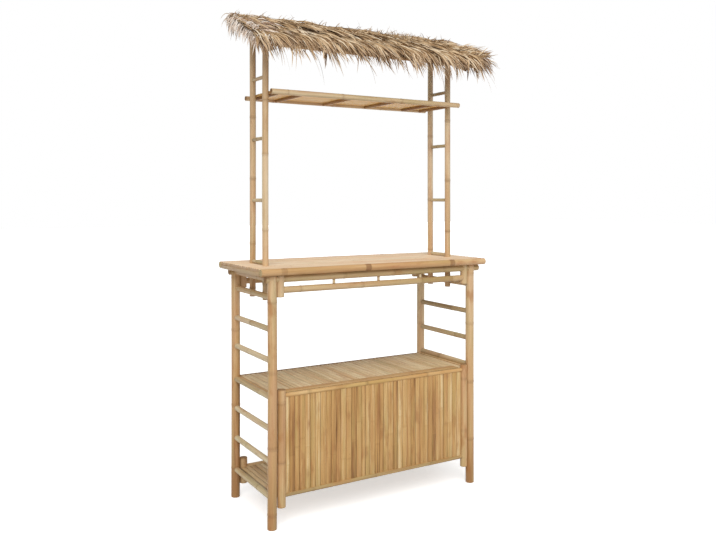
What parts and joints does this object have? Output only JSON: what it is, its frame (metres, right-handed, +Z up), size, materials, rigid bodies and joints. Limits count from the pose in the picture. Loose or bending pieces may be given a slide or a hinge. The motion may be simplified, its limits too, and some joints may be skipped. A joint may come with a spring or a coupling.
{
  "type": "bamboo bar with thatched roof",
  "caption": "Free-standing bamboo bar: a slatted counter on ladder-sided legs, a slatted front cabinet, and a tower with an upper shelf and a thatched roof.",
  "frame": {"origin": "on the floor, in the middle between the four legs", "axes": "+X along the counter, -Y towards the guests (the panelled side), +Z up"},
  "size_m": [1.31, 0.4584, 2.0479],
  "materials": {
    "leg_bamboo": "satin varnish on round bamboo culms with darker knuckles",
    "rail_bamboo": "satin varnish on slim bamboo culms with darker knuckles",
    "top_bamboo": "satin varnish on split bamboo slats, pale",
    "panel_bamboo": "satin varnish on split bamboo slats of mixed tones",
    "shelf_bamboo": "matt split bamboo slats",
    "thatch": "dry grass, matt, with many stray ends"
  },
  "bodies": {
    "root": {"leg_front_left": "leg_bamboo", "leg_front_right": "leg_bamboo", "leg_rear_left": "leg_bamboo", "leg_rear_right": "leg_bamboo", "rung_left_1": "rail_bamboo", "rung_left_2": "rail_bamboo", "rung_left_3": "rail_bamboo", "rung_left_4": "rail_bamboo", "rung_right_1": "rail_bamboo", "rung_right_2": "rail_bamboo", "rung_right_3": "rail_bamboo", "rung_right_4": "rail_bamboo", "low_rail_left": "rail_bamboo", "low_rail_right": "rail_bamboo", "mid_rail_left": "rail_bamboo", "mid_rail_right": "rail_bamboo", "side_apron_upper_left": "rail_bamboo", "side_apron_upper_right": "rail_bamboo", "side_apron_lower_left": "rail_bamboo", "side_apron_lower_right": "rail_bamboo", "apron_upper_front": "rail_bamboo", "apron_upper_rear": "rail_bamboo", "apron_lower_front": "rail_bamboo", "apron_lower_rear": "rail_bamboo", "apron_post_front_left": "rail_bamboo", "apron_post_front_right": "rail_bamboo", "apron_post_rear_left": "rail_bamboo", "apron_post_rear_right": "rail_bamboo", "tabletop_slats": "top_bamboo", "tabletop_edge_front": "top_bamboo", "tabletop_edge_rear": "top_bamboo", "panel_stile_left": "leg_bamboo", "panel_stile_right": "leg_bamboo", "panel_trim": "rail_bamboo", "panel_bottom_rail": "rail_bamboo", "panel_slats": "panel_bamboo", "mid_shelf_slats": "shelf_bamboo", "mid_shelf_rear_rail": "rail_bamboo", "bottom_shelf_slats": "shelf_bamboo", "bottom_shelf_rear_frame": "rail_bamboo", "upright_front_left": "leg_bamboo", "upright_front_right": "leg_bamboo", "upright_rear_left": "leg_bamboo", "upright_rear_right": "leg_bamboo", "tower_rung_left_0": "rail_bamboo", "tower_rung_left_1": "rail_bamboo", "tower_rung_left_2": "rail_bamboo", "tower_rung_left_3": "rail_bamboo", "tower_rung_right_0": "rail_bamboo", "tower_rung_right_1": "rail_bamboo", "tower_rung_right_2": "rail_bamboo", "tower_rung_right_3": "rail_bamboo", "upper_shelf_rail_front": "rail_bamboo", "upper_shelf_rail_rear": "rail_bamboo", "upper_shelf_slats": "shelf_bamboo", "rafter_left": "leg_bamboo", "rafter_right": "leg_bamboo", "ridge_pole": "leg_bamboo", "eave_pole": "leg_bamboo", "thatch": "thatch"}
  },
  "joints": []
}
